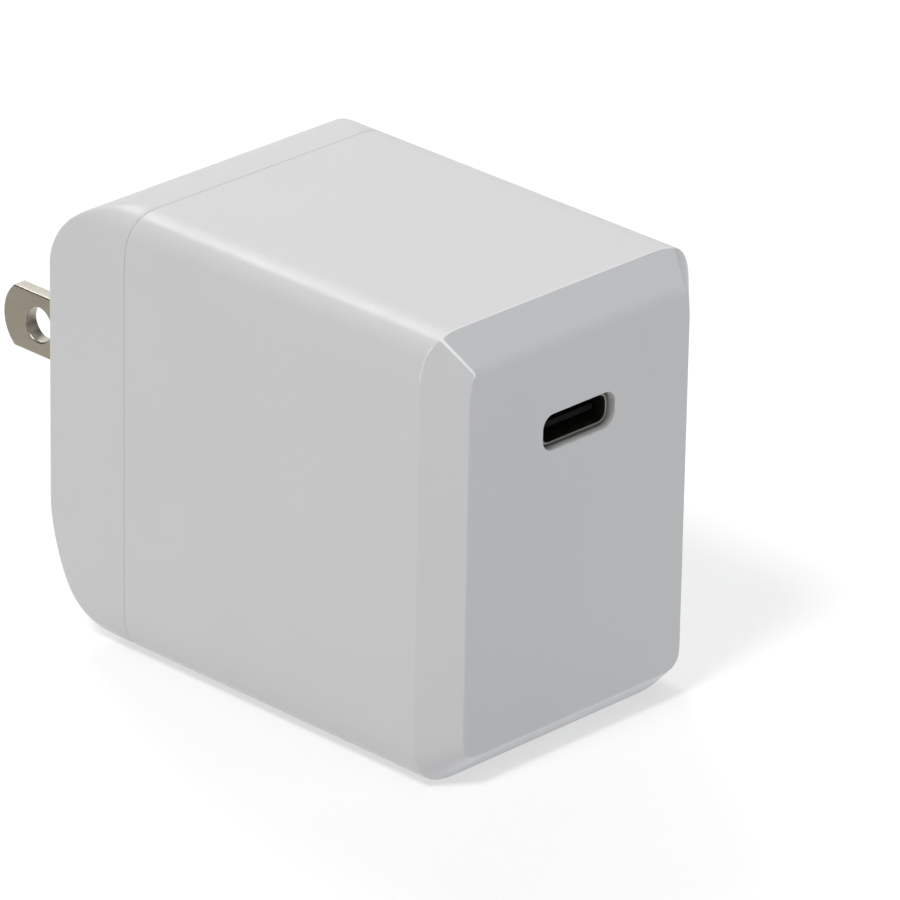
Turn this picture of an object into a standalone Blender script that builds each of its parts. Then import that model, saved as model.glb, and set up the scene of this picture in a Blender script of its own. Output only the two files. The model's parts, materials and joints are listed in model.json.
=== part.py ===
"""USB-C laptop wall charger with folding mains prongs, as separate solids in metres, +Z up.

The origin is the middle of the flat underside. -Y is the socket face, +Y is the face that meets
the wall, and X is the width. The prongs turn about an X axis set just inside the wall face.
"""

import math

import bmesh
import bpy
from mathutils import Matrix

MM = 0.001
GAP = 0.3  # clearance between neighbouring parts, mm. All sizes below are in mm.

# Body: a rounded rectangle in X and Z, drawn out along Y, with a chamfer around the socket face.
WIDTH = 35.2
HEIGHT = 45.0
DEPTH = 52.0
WALL = 2.2
CHAMFER = 3.2
CORNER_REACH = 6.0
CORNER_POWER = 2.8
CORNER_STEPS = 5
FRONT = -DEPTH / 2
REAR = DEPTH / 2

# Rear cover: its top and bottom edges curve over the full depth of the cover, the bottom one
# over more of the height than the top one.
CAP_DEPTH = 10.4
CAP_TOP_REACH = 9.5
CAP_TOP_POWER = 2.4
CAP_BOTTOM_REACH = 17.0
CAP_BOTTOM_POWER = 2.18
CAP_STEPS = 9
CAP_SIDE_EDGE = 0.5
SEAM_HALF_GAP = 0.15
SEAM = REAR - CAP_DEPTH
LIP_REACH = 2.4
LIP_THICKNESS = 1.1
LIP_ROOT = 1.8
JOIN = 0.4  # how far a raised feature runs into the wall that carries it.
PASS = 1.0  # how far a cutter runs past the face it opens.

# Mains prongs: flat blades of the North American two-pin pattern on one turning carrier.
PIVOT_Y = REAR - 4.4
PIVOT_Z = 23.9
BLADE_SPACING = 12.7
BLADE_WIDTH = 6.35
BLADE_THICKNESS = 1.5
BLADE_REACH = 17.6
BLADE_TIP_RADIUS = 4.1
BLADE_HOLE_RADIUS = 1.8
BLADE_HOLE_FROM_FACE = 12.7
HEEL_WIDTH = 3.0
HEEL_RADIUS = 4.3
HEEL_START = -2.0
BARREL_RADIUS = 4.1
BARREL_HALF_LENGTH = 8.2
STUB_RADIUS = 1.6
STUB_END = 10.5
SADDLE_CAP_START = 9.0
SADDLE_CAP_END = 10.4
TURNING_ROOM = 0.4
NOTCH_RADIUS = 0.8
NOTCH_LENGTH = 3.4

# Tub that carries the prongs behind the cover, and its screws.
TUB_HALF_WIDTH = 11.6
TUB_FRONT = SEAM + GAP
TUB_TOP = 38.0
SLOT_HALF_WIDTH = 1.1
SLOT_FLOOR = PIVOT_Y - BLADE_WIDTH / 2 - GAP
SLOT_BOTTOM = 1.3
WINDOW_HALF_WIDTH = BARREL_HALF_LENGTH + TURNING_ROOM
WINDOW_HALF_HEIGHT = 3.8
CONTACT_WIDTH = 2.6
CONTACT_THICKNESS = 0.35
DETENT_WIDTH = 2.8
DETENT_THICKNESS = 0.3
SCREW_PLACES = {"left": (-7.5, 33.2), "right": (7.5, 33.2), "lower": (0.0, 12.5)}
BOSS_RADIUS = 2.3
BOSS_FRONT = 19.2
SCREW_SHANK_RADIUS = 0.75
SCREW_HEAD_RADIUS = 1.9
SCREW_HEAD_HEIGHT = 1.3
SCREW_IN_BOSS = 3.2
PILOT_DEPTH = 3.8

# USB-C receptacle, set back behind its opening.
PORT_Z = 32.9
PORT_WIDTH = 9.44
PORT_HEIGHT = 3.6
PORT_CORNER = 1.3
PORT_SETBACK = 0.75
SHELL_WIDTH = 8.94
SHELL_HEIGHT = 3.2
SHELL_WALL = 0.3
SHELL_CORNER = 1.25
SHELL_LENGTH = 7.3
TONGUE_WIDTH = 6.69
TONGUE_THICKNESS = 0.7
TONGUE_LENGTH = 4.45
TONGUE_BASE_DEPTH = 1.8

# Circuit boards.
BOARD_TOP = 6.6
BOARD_THICKNESS = 1.6
BOARD_HALF_WIDTH = 14.7
BOARD_FRONT = -22.3
BOARD_REAR = 12.0
OUTPUT_BOARD_THICKNESS = 1.2
OUTPUT_BOARD_TOP = PORT_Z - SHELL_HEIGHT / 2 - GAP
OUTPUT_BOARD_HALF_WIDTH = 13.4
OUTPUT_BOARD_REAR = 6.0
OUTPUT_DECK = OUTPUT_BOARD_TOP + GAP
DECK = BOARD_TOP + GAP
UNDERSIDE = BOARD_TOP - BOARD_THICKNESS - GAP
RAIL_SIZE = 1.0
RAIL_SPAN = (-19.0, 10.0)
SHEET_BOTTOM = 28.2
SHEET_THICKNESS = 0.6

# Parts on the mains board: positions in X and Y, and the heights they rise to.
BULK_PLACES = (-9.5, 0.0, 9.5)
BULK_Y = -16.3
BULK_RADIUS = 4.4
BULK_TOP = 27.6
CHOKE_CENTRE = (-8.0, 7.2, 14.2)
X_CAPACITOR_TOP = 18.0
Y_CAPACITOR_CENTRE = (12.3, -4.0, 11.5)
FUSE_PLACE = (-12.5, -2.0)
FUSE_LIFT = 1.6
OPTOCOUPLER_HEIGHT = 3.4
BRIDGE_HEIGHT = 1.5
SWITCH_HEIGHT = 1.0
CONTROLLER_HEIGHT = 1.2

# Parts on the output board.
OUTPUT_CAPACITOR_PLACES = {"left": -8.0, "right": 8.0}
OUTPUT_CAPACITOR_Y = 1.6
OUTPUT_CAPACITOR_RADIUS = 3.15
OUTPUT_CAPACITOR_HEIGHT = 8.0
INDUCTOR_HEIGHT = 4.2
DELIVERY_CHIP_HEIGHT = 0.9
RECTIFIER_HEIGHT = 1.1
BUSBAR_PLACES = {"left": -12.6, "right": 12.6}
BUSBAR_HALF_THICKNESS = 0.4
BUSBAR_SPAN = (-11.3, -8.8)

BLADE_SIDES = {"left": -BLADE_SPACING / 2, "right": BLADE_SPACING / 2}


def clear_scene():
    for item in list(bpy.data.objects):
        bpy.data.objects.remove(item, do_unlink=True)


def make_collection(name):
    collection = bpy.data.collections.new(name)
    bpy.context.scene.collection.children.link(collection)
    return collection


clear_scene()
PARTS = make_collection("laptop_power_adapter")
CUTTERS = make_collection("cutters")


def make_material(name, colour, roughness, metallic=0.0):
    material = bpy.data.materials.new(name)
    material.use_nodes = True
    shader = material.node_tree.nodes["Principled BSDF"]
    shader.inputs["Base Color"].default_value = (*colour, 1.0)
    shader.inputs["Roughness"].default_value = roughness
    shader.inputs["Metallic"].default_value = metallic
    return material


MATERIALS = {
    "white_plastic": make_material("white_plastic", (0.80, 0.80, 0.81), 0.42),
    "tub_plastic": make_material("tub_plastic", (0.70, 0.70, 0.70), 0.55),
    "blade_nickel": make_material("blade_nickel", (0.56, 0.52, 0.46), 0.28, 1.0),
    "spring_brass": make_material("spring_brass", (0.72, 0.55, 0.28), 0.32, 1.0),
    "steel": make_material("steel", (0.60, 0.60, 0.60), 0.30, 1.0),
    "board_green": make_material("board_green", (0.03, 0.16, 0.07), 0.45),
    "black_plastic": make_material("black_plastic", (0.015, 0.015, 0.016), 0.45),
    "ferrite": make_material("ferrite", (0.06, 0.06, 0.065), 0.60),
    "yellow_tape": make_material("yellow_tape", (0.78, 0.58, 0.10), 0.40),
    "copper": make_material("copper", (0.72, 0.35, 0.18), 0.30, 1.0),
    "capacitor_sleeve": make_material("capacitor_sleeve", (0.05, 0.06, 0.12), 0.35),
    "blue_epoxy": make_material("blue_epoxy", (0.05, 0.18, 0.50), 0.40),
    "box_yellow": make_material("box_yellow", (0.75, 0.62, 0.20), 0.45),
    "aluminium": make_material("aluminium", (0.72, 0.72, 0.73), 0.35, 1.0),
    "fish_paper": make_material("fish_paper", (0.20, 0.23, 0.20), 0.70),
}


def place(name, mesh, material, location=(0.0, 0.0, 0.0)):
    """Adds a mesh to the model, or to the cutters when it has no material."""
    item = bpy.data.objects.new(name, mesh)
    item.location = [value * MM for value in location]
    if material is None:
        CUTTERS.objects.link(item)
        item.hide_render = True
        item.display_type = "WIRE"
    else:
        PARTS.objects.link(item)
        mesh.materials.append(MATERIALS[material])
    return item


def mesh_from(bm, name):
    bmesh.ops.recalc_face_normals(bm, faces=bm.faces)
    mesh = bpy.data.meshes.new(name)
    bm.to_mesh(mesh)
    bm.free()
    return mesh


def box(name, x_span, y_span, z_span, material=None):
    spans = (x_span, y_span, z_span)
    centre = [(low + high) / 2 for low, high in spans]
    size = [(high - low) * MM for low, high in spans]
    bm = bmesh.new()
    bmesh.ops.create_cube(bm, size=1.0, matrix=Matrix.Diagonal((*size, 1.0)))
    return place(name, mesh_from(bm, name), material, centre)


AXIS_TURN = {
    "X": Matrix.Rotation(math.pi / 2, 4, "Y"),
    "Y": Matrix.Rotation(-math.pi / 2, 4, "X"),
    "Z": Matrix.Identity(4),
}


def cylinder(name, centre, radius, length, axis, material=None, steps=24):
    bm = bmesh.new()
    bmesh.ops.create_cone(
        bm, cap_ends=True, segments=steps, radius1=radius * MM, radius2=radius * MM,
        depth=length * MM, matrix=AXIS_TURN[axis],
    )
    mesh = mesh_from(bm, name)
    mesh.shade_smooth()
    mesh.set_sharp_from_angle(angle=math.radians(40))
    return place(name, mesh, material, centre)


def plate(name, outlines, plane, centre, thickness, material=None):
    """A flat outline, with any holes as further outlines, thickened about its plane.

    The plane "YZ" takes points (y, z) and thickens along X; "XZ" takes (x, z) and thickens along Y.
    """
    curve = bpy.data.curves.new(name, "CURVE")
    curve.dimensions = "2D"
    curve.fill_mode = "BOTH"
    curve.extrude = thickness * MM / 2
    for points in outlines:
        spline = curve.splines.new("POLY")
        spline.points.add(len(points) - 1)
        for point, (across, up) in zip(spline.points, points):
            point.co = (across * MM, up * MM, 0.0, 1.0)
        spline.use_cyclic_u = True
    columns = {"YZ": ((0, 0, 1), (1, 0, 0), (0, 1, 0)), "XZ": ((1, 0, 0), (0, 0, -1), (0, 1, 0))}
    flat = bpy.data.objects.new(name + "_outline", curve)
    bpy.context.scene.collection.objects.link(flat)
    bpy.context.view_layer.update()
    evaluated = flat.evaluated_get(bpy.context.evaluated_depsgraph_get())
    bm = bmesh.new()
    bm.from_mesh(bpy.data.meshes.new_from_object(evaluated))
    bmesh.ops.remove_doubles(bm, verts=bm.verts, dist=0.000001)
    bmesh.ops.transform(bm, matrix=Matrix(columns[plane]).to_4x4(), verts=bm.verts)
    bpy.data.objects.remove(flat, do_unlink=True)
    return place(name, mesh_from(bm, name), material, centre)


def loft(name, sections, material=None):
    """A closed skin through rings of (x, z) points, each ring at its own y."""
    bm = bmesh.new()
    rings = []
    for y, points in sections:
        rings.append([bm.verts.new((x * MM, y * MM, z * MM)) for x, z in points])
    for near, far in zip(rings, rings[1:]):
        for index in range(len(near)):
            after = (index + 1) % len(near)
            bm.faces.new((near[index], near[after], far[after], far[index]))
    bm.faces.new(rings[0])
    bm.faces.new(rings[-1])
    mesh = mesh_from(bm, name)
    mesh.shade_smooth()
    mesh.set_sharp_from_angle(angle=math.radians(32))
    return place(name, mesh, material)


def combine(target, tool, operation="DIFFERENCE"):
    modifier = target.modifiers.new(tool.name, "BOOLEAN")
    modifier.operation = operation
    modifier.solver = "EXACT"
    modifier.object = tool
    return target


def superellipse_corner(along_reach, away_reach, power, steps):
    """Offsets from a square corner, starting along the first side and ending along the second."""
    offsets = [(along_reach, 0.0)]
    for step in range(1, steps):
        turn = math.pi / 2 * step / steps
        offsets.append((along_reach * (1 - math.sin(turn) ** (2 / power)),
                        away_reach * (1 - math.cos(turn) ** (2 / power))))
    offsets.append((0.0, away_reach))
    return offsets


def rounded_outline(half_width, bottom, top, reach, power, steps=CORNER_STEPS):
    """A rectangle in (x, z) with the same superelliptic corner four times."""
    corner = superellipse_corner(reach, reach, power, steps)
    points = [(half_width - along, bottom + away) for along, away in corner]
    points += [(half_width - along, top - away) for along, away in reversed(corner)]
    points += [(along - half_width, top - away) for along, away in corner]
    points += [(along - half_width, bottom + away) for along, away in reversed(corner)]
    return points


def body_section(inset):
    reach = max(CORNER_REACH - inset, 1.2)
    return rounded_outline(WIDTH / 2 - inset, inset, HEIGHT - inset, reach, CORNER_POWER)


def cap_profile(inset, front):
    """The cover's outline in (y, z): square at the front, curved at the top and bottom rear."""
    lower = superellipse_corner(
        CAP_DEPTH - inset, CAP_BOTTOM_REACH - inset, CAP_BOTTOM_POWER, CAP_STEPS)
    upper = superellipse_corner(
        CAP_DEPTH - inset, CAP_TOP_REACH - inset, CAP_TOP_POWER, CAP_STEPS)
    points = [(front, inset)]
    points += [(REAR - inset - along, inset + away) for along, away in lower]
    points += [(REAR - inset - along, HEIGHT - inset - away) for along, away in reversed(upper)]
    points.append((front, HEIGHT - inset))
    return points


def cap_block(name, inset, front):
    return plate(name, [cap_profile(inset, front)], "YZ", (0, 0, 0), WIDTH + 4)


def arc(centre, radius, start, end, steps):
    angles = [start + (end - start) * step / steps for step in range(steps + 1)]
    return [
        (centre[0] + radius * math.cos(angle), centre[1] + radius * math.sin(angle))
        for angle in angles
    ]


def front_housing():
    housing = loft("front_housing", [
        (FRONT, body_section(CHAMFER)),
        (FRONT + CHAMFER, body_section(0.0)),
        (SEAM - SEAM_HALF_GAP, body_section(0.0)),
    ], "white_plastic")
    inner_chamfer = CHAMFER + WALL * math.sqrt(2) - WALL
    cavity = loft("housing_cavity", [
        (FRONT + WALL, body_section(inner_chamfer)),
        (FRONT + inner_chamfer, body_section(WALL)),
        (SEAM + PASS, body_section(WALL)),
    ])
    combine(housing, cavity)
    half_port = PORT_HEIGHT / 2
    outline = rounded_outline(
        PORT_WIDTH / 2, PORT_Z - half_port, PORT_Z + half_port, PORT_CORNER, 2.0)
    combine(housing, plate("port_cut", [outline], "XZ", (0, FRONT, 0), 3 * WALL))
    rail_spans = {"under": (UNDERSIDE - RAIL_SIZE, UNDERSIDE), "over": (DECK, DECK + RAIL_SIZE)}
    for level, z_span in rail_spans.items():
        for side in (-1, 1):
            edges = sorted((side * (BOARD_HALF_WIDTH - RAIL_SIZE / 2),
                            side * (WIDTH / 2 - WALL + JOIN)))
            combine(housing, box(f"rail_{level}_{side}", edges, RAIL_SPAN, z_span), "UNION")


def locating_lip():
    """A ring on the cover that slides inside the front housing and centres the two halves."""
    lip = loft("lip_outer", [
        (SEAM - LIP_REACH, body_section(WALL + GAP)),
        (SEAM + SEAM_HALF_GAP, body_section(WALL + GAP)),
        (SEAM + SEAM_HALF_GAP + GAP, body_section(WALL - GAP)),
        (SEAM + LIP_ROOT, body_section(WALL - GAP)),
    ])
    bore = loft("lip_bore", [
        (SEAM - LIP_REACH - PASS, body_section(WALL + GAP + LIP_THICKNESS)),
        (SEAM + LIP_ROOT + PASS, body_section(WALL + GAP + LIP_THICKNESS)),
    ])
    return combine(lip, bore)


def rear_cover():
    """The cover starts as the body's section, run on past the rear face and cut back to it."""
    cover = loft("rear_cover", [
        (SEAM + SEAM_HALF_GAP, body_section(0.0)),
        (REAR - CAP_SIDE_EDGE, body_section(0.0)),
        (REAR - CAP_SIDE_EDGE * 0.3, body_section(CAP_SIDE_EDGE * 0.3)),
        (REAR, body_section(CAP_SIDE_EDGE)),
        (REAR + PASS, body_section(CAP_SIDE_EDGE + PASS)),
    ], "white_plastic")
    combine(cover, cap_block("cap_outer", 0.0, SEAM - PASS), "INTERSECT")
    cavity = loft("cover_cavity", [(SEAM - PASS, body_section(WALL)), (REAR, body_section(WALL))])
    combine(cavity, cap_block("cap_inner", WALL, SEAM - 2 * PASS), "INTERSECT")
    combine(cover, cavity)
    combine(cover, locating_lip(), "UNION")
    wall_inside = REAR - WALL
    length = wall_inside + JOIN - BOSS_FRONT
    pilot_length = PILOT_DEPTH + PASS
    for name, (x, z) in SCREW_PLACES.items():
        boss = cylinder(
            f"boss_{name}", (x, BOSS_FRONT + length / 2, z), BOSS_RADIUS, length, "Y", steps=20)
        pilot = cylinder(f"pilot_{name}", (x, BOSS_FRONT + PILOT_DEPTH - pilot_length / 2, z),
                         SCREW_SHANK_RADIUS + GAP, pilot_length, "Y", steps=12)
        combine(cover, boss, "UNION")
        combine(cover, pilot)
    for side in (-1, 1):
        span = sorted((side * SADDLE_CAP_START, side * SADDLE_CAP_END))
        cap = box(f"saddle_cap_{side}", span, (wall_inside - GAP, wall_inside + JOIN),
                  (PIVOT_Z - STUB_RADIUS, PIVOT_Z + STUB_RADIUS))
        combine(cover, cap, "UNION")
    window = box("carrier_window", (-WINDOW_HALF_WIDTH, WINDOW_HALF_WIDTH),
                 (wall_inside - PASS, REAR + PASS),
                 (PIVOT_Z - WINDOW_HALF_HEIGHT, PIVOT_Z + WINDOW_HALF_HEIGHT))
    combine(cover, window)
    for name, x in BLADE_SIDES.items():
        slot = box(f"cover_slot_{name}", (x - SLOT_HALF_WIDTH, x + SLOT_HALF_WIDTH),
                   (SLOT_FLOOR, REAR + PASS), (SLOT_BOTTOM, PIVOT_Z))
        combine(cover, slot)


def prong_tub():
    tub = box("prong_tub", (-TUB_HALF_WIDTH, TUB_HALF_WIDTH), (TUB_FRONT, REAR),
              (0.0, TUB_TOP), "tub_plastic")
    combine(tub, cap_block("tub_envelope", WALL + GAP, SEAM - 3 * PASS), "INTERSECT")
    lip_room = WALL + LIP_THICKNESS + 3 * GAP
    combine(tub, box("tub_lip_notch", (-TUB_HALF_WIDTH - PASS, TUB_HALF_WIDTH + PASS),
                     (TUB_FRONT - PASS, SEAM + LIP_ROOT + JOIN), (-PASS, lip_room)))
    pivot = (0, PIVOT_Y, PIVOT_Z)
    pocket_radius = BARREL_RADIUS + TURNING_ROOM
    saddle_radius = STUB_RADIUS + GAP
    saddle_half = STUB_END + TURNING_ROOM
    combine(tub, cylinder("barrel_pocket", pivot, pocket_radius, 2 * WINDOW_HALF_WIDTH, "X"))
    combine(tub, box("barrel_mouth", (-WINDOW_HALF_WIDTH, WINDOW_HALF_WIDTH), (PIVOT_Y, REAR),
                     (PIVOT_Z - pocket_radius, PIVOT_Z + pocket_radius)))
    combine(tub, cylinder("stub_saddle", pivot, saddle_radius, 2 * saddle_half, "X", steps=16))
    combine(tub, box("saddle_mouth", (-saddle_half, saddle_half), (PIVOT_Y, REAR),
                     (PIVOT_Z - saddle_radius, PIVOT_Z + saddle_radius)))
    for name, x in BLADE_SIDES.items():
        combine(tub, box(f"tub_slot_{name}", (x - SLOT_HALF_WIDTH, x + SLOT_HALF_WIDTH),
                         (SLOT_FLOOR, REAR), (-PASS, PIVOT_Z)))
        combine(tub, cylinder(f"heel_sweep_{name}", (x, PIVOT_Y, PIVOT_Z),
                              HEEL_RADIUS + TURNING_ROOM, 2 * SLOT_HALF_WIDTH, "X"))
        window_half = CONTACT_WIDTH / 2 + TURNING_ROOM
        combine(tub, box(f"contact_window_{name}", (x - window_half, x + window_half),
                         (TUB_FRONT - PASS, PIVOT_Y - 3), (PIVOT_Z - 3, PIVOT_Z + 3.5)))
    detent_half = DETENT_WIDTH / 2 + TURNING_ROOM
    combine(tub, box("detent_room", (-detent_half, detent_half), (TUB_FRONT + 0.8, REAR),
                     (PIVOT_Z + 3, PIVOT_Z + 6.2)))
    room = REAR - BOSS_FRONT + GAP
    for name, (x, z) in SCREW_PLACES.items():
        combine(tub, cylinder(f"boss_room_{name}", (x, REAR - room / 2, z), BOSS_RADIUS + GAP, room,
                              "Y", steps=20))
        combine(tub, cylinder(f"screw_way_{name}", (x, TUB_FRONT, z), SCREW_SHANK_RADIUS + GAP,
                              2 * (BOSS_FRONT - TUB_FRONT), "Y", steps=12))


def prong_carrier():
    pivot = (0, PIVOT_Y, PIVOT_Z)
    carrier = cylinder("prong_carrier", pivot, BARREL_RADIUS, 2 * BARREL_HALF_LENGTH, "X",
                       "tub_plastic", steps=32)
    combine(carrier, cylinder("stubs", pivot, STUB_RADIUS, 2 * STUB_END, "X", steps=16), "UNION")
    half_seat = BLADE_THICKNESS / 2 + GAP
    half_blade = BLADE_WIDTH / 2 + GAP
    half_heel = HEEL_WIDTH / 2 + GAP
    for name, x in BLADE_SIDES.items():
        span = (x - half_seat, x + half_seat)
        combine(carrier, box(f"blade_seat_{name}", span, (PIVOT_Y + HEEL_START - GAP, REAR + PASS),
                             (PIVOT_Z - half_blade, PIVOT_Z + half_blade)))
        combine(carrier, box(f"heel_seat_{name}", span, (PIVOT_Y - BARREL_RADIUS - PASS, PIVOT_Y),
                             (PIVOT_Z - half_heel, PIVOT_Z + half_heel)))
    notch_offset = BARREL_RADIUS + GAP
    notches = {"open": (0.0, notch_offset), "folded": (-notch_offset, 0.0)}
    for name, (y, z) in notches.items():
        combine(carrier, cylinder(f"notch_{name}", (0, PIVOT_Y + y, PIVOT_Z + z), NOTCH_RADIUS,
                                  NOTCH_LENGTH, "X", steps=12))


def blade_outline():
    """Outline in (y, z) about the pivot: rounded tip, straight sides, stepped and rounded heel."""
    half = BLADE_WIDTH / 2
    tip = REAR + BLADE_REACH - PIVOT_Y
    tip_angle = math.asin(half / BLADE_TIP_RADIUS)
    heel_angle = math.asin(HEEL_WIDTH / 2 / HEEL_RADIUS)
    points = [(HEEL_START, -HEEL_WIDTH / 2), (HEEL_START, -half)]
    points += arc((tip - BLADE_TIP_RADIUS, 0), BLADE_TIP_RADIUS, -tip_angle, tip_angle, 10)
    points += [(HEEL_START, half), (HEEL_START, HEEL_WIDTH / 2)]
    points += arc((0, 0), HEEL_RADIUS, math.pi - heel_angle, math.pi + heel_angle, 4)
    return points


def blades():
    hole_y = REAR + BLADE_HOLE_FROM_FACE - PIVOT_Y
    hole = arc((hole_y, 0), BLADE_HOLE_RADIUS, 0, 2 * math.pi, 20)[:-1]
    for name, x in BLADE_SIDES.items():
        plate(f"{name}_blade", [blade_outline(), hole], "YZ", (x, PIVOT_Y, PIVOT_Z), BLADE_THICKNESS,
              "blade_nickel")


def strip(name, path, width, thickness, x, material):
    """A bent metal strip: a path of (y, z) points drawn out along X, then thickened."""
    bm = bmesh.new()
    edges = [
        [bm.verts.new((side * width * MM / 2, y * MM, z * MM)) for y, z in path] for side in (-1, 1)
    ]
    for index in range(len(path) - 1):
        bm.faces.new((edges[0][index], edges[1][index], edges[1][index + 1], edges[0][index + 1]))
    item = place(name, mesh_from(bm, name), material, (x, 0, 0))
    skin = item.modifiers.new("thickness", "SOLIDIFY")
    skin.thickness = thickness * MM
    skin.offset = 0.0
    skin.use_even_offset = True
    return item


def contact_springs():
    """Each spring stands on the mains board and its nose presses on a blade's heel."""
    foot = DECK + 0.2
    stem = SEAM - 1.0
    nose = PIVOT_Y - HEEL_RADIUS - GAP - 0.2
    path = [(BOARD_REAR - 1.6, foot), (stem - 0.5, foot), (stem, foot + 0.5), (stem, PIVOT_Z - 3.6),
            (nose - 0.3, PIVOT_Z - 1.6), (nose, PIVOT_Z - 1.0), (nose, PIVOT_Z + 0.8),
            (nose - 0.3, PIVOT_Z + 1.3), (stem + 0.5, PIVOT_Z + 3.2)]
    for name, x in BLADE_SIDES.items():
        strip(f"{name}_contact_spring", path, CONTACT_WIDTH, CONTACT_THICKNESS, x,
              "spring_brass")


def detent_spring():
    """A leaf over the carrier's barrel, whose dip drops into the barrel's notches."""
    low = PIVOT_Z + BARREL_RADIUS + GAP + 0.2
    path = [(TUB_FRONT + 1.2, low + 1.1), (PIVOT_Y - 1.6, low + 0.5), (PIVOT_Y - 0.4, low),
            (PIVOT_Y + 0.4, low), (PIVOT_Y + 1.4, low + 0.5)]
    strip("detent_spring", path, DETENT_WIDTH, DETENT_THICKNESS, 0, "steel")


def tub_screws():
    head_front = TUB_FRONT - GAP - SCREW_HEAD_HEIGHT
    head_middle = head_front + SCREW_HEAD_HEIGHT / 2
    length = BOSS_FRONT + SCREW_IN_BOSS - head_middle
    for name, (x, z) in SCREW_PLACES.items():
        head = cylinder(f"tub_screw_{name}", (x, head_middle, z), SCREW_HEAD_RADIUS,
                        SCREW_HEAD_HEIGHT, "Y", "steel", steps=20)
        shank = cylinder(f"shank_{name}", (x, head_middle + length / 2, z), SCREW_SHANK_RADIUS,
                         length, "Y", steps=12)
        combine(head, shank, "UNION")
        for turn, (wide, tall) in {"flat": (1.2, 0.2), "upright": (0.2, 1.2)}.items():
            combine(head, box(f"recess_{turn}_{name}", (x - wide, x + wide),
                              (head_front - PASS, head_front + 0.7), (z - tall, z + tall)))


def circuit_boards():
    box("primary_board", (-BOARD_HALF_WIDTH, BOARD_HALF_WIDTH), (BOARD_FRONT, BOARD_REAR),
        (BOARD_TOP - BOARD_THICKNESS, BOARD_TOP), "board_green")
    box("output_board", (-OUTPUT_BOARD_HALF_WIDTH, OUTPUT_BOARD_HALF_WIDTH),
        (BOARD_FRONT, OUTPUT_BOARD_REAR),
        (OUTPUT_BOARD_TOP - OUTPUT_BOARD_THICKNESS, OUTPUT_BOARD_TOP), "board_green")


def usb_receptacle():
    mouth = FRONT + PORT_SETBACK
    middle = (0, mouth + SHELL_LENGTH / 2, 0)
    rings = []
    for inset in (0.0, SHELL_WALL):
        half = SHELL_HEIGHT / 2 - inset
        rings.append(rounded_outline(
            SHELL_WIDTH / 2 - inset, PORT_Z - half, PORT_Z + half, SHELL_CORNER - inset, 2.0))
    plate("usb_shell", rings, "XZ", middle, SHELL_LENGTH, "steel")
    base_half = SHELL_WIDTH / 2 - SHELL_WALL - 0.9
    base_rise = SHELL_HEIGHT / 2 - SHELL_WALL - 0.15
    back = mouth + SHELL_LENGTH - 0.2
    base_front = back - TONGUE_BASE_DEPTH
    tongue = box("usb_tongue", (-base_half, base_half), (base_front, back),
                 (PORT_Z - base_rise, PORT_Z + base_rise), "black_plastic")
    blade = box("tongue_blade", (-TONGUE_WIDTH / 2, TONGUE_WIDTH / 2),
                (base_front - TONGUE_LENGTH, base_front + JOIN),
                (PORT_Z - TONGUE_THICKNESS / 2, PORT_Z + TONGUE_THICKNESS / 2))
    combine(tongue, blade, "UNION")


def transformer():
    """Two E-shaped core halves meet inside a taped winding; each leg is an outline level 1."""
    centre_y = -4.4
    core_depth = 7.0
    bottom = 8.0
    top = 24.3
    outer = 10.0
    centre_leg = 3.0
    leg = 3.0
    back = 3.0
    rise = (top - bottom) / 2 - GAP / 2
    room = 0.4
    winding_reach = 6.8
    half_e = [(-outer, 0), (outer, 0), (outer, 1), (outer - leg, 1), (outer - leg, back),
              (centre_leg, back), (centre_leg, 1), (-centre_leg, 1), (-centre_leg, back),
              (leg - outer, back), (leg - outer, 1), (-outer, 1)]
    for name, (start, direction) in {"lower": (bottom, 1), "upper": (top, -1)}.items():
        levels = {0: 0.0, 1: rise, back: back}
        outline = [(x, start + direction * levels[level]) for x, level in half_e]
        plate(f"transformer_core_{name}", [outline], "XZ", (0, centre_y, 0), core_depth, "ferrite")
    winding = box("transformer_winding", (leg + room - outer, outer - leg - room),
                  (centre_y - winding_reach, centre_y + winding_reach),
                  (bottom + back + room, top - back - room), "yellow_tape")
    soften(winding, 1.0)
    passage_depth = core_depth / 2 + room
    combine(winding, box("leg_passage", (-centre_leg - room, centre_leg + room),
                         (centre_y - passage_depth, centre_y + passage_depth), (bottom, top)))


def soften(item, width):
    edge = item.modifiers.new("edge", "BEVEL")
    edge.width = width * MM
    edge.segments = 2
    edge.limit_method = "ANGLE"
    edge.angle_limit = math.radians(60)


def can(name, x, y, radius, bottom, top, material):
    soften(cylinder(name, (x, y, (bottom + top) / 2), radius, top - bottom, "Z", material), 0.5)


def common_mode_choke():
    """A ring core, with a winding over each half that is hollowed to clear the core."""
    x, y, z = CHOKE_CENTRE
    core = cylinder("choke_core", CHOKE_CENTRE, 5.2, 3.6, "Y", "ferrite")
    combine(core, cylinder("choke_core_bore", CHOKE_CENTRE, 2.8, 6, "Y", steps=16))
    for name, side in {"left": -1, "right": 1}.items():
        winding = cylinder(f"choke_winding_{name}", CHOKE_CENTRE, 6.0, 5.2, "Y", "copper")
        combine(winding, cylinder(f"winding_bore_{name}", CHOKE_CENTRE, 2.0, 8, "Y", steps=16))
        core_room = cylinder(f"core_room_{name}", CHOKE_CENTRE, 5.5, 4.2, "Y")
        combine(core_room,
                cylinder(f"core_room_bore_{name}", CHOKE_CENTRE, 2.5, 6, "Y", steps=16))
        combine(winding, core_room)
        other_half = sorted((x + side * 0.8, x - side * 8))
        combine(winding, box(f"winding_split_{name}", other_half, (y - 7, y + 7), (z - 8, z + 8)))


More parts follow.
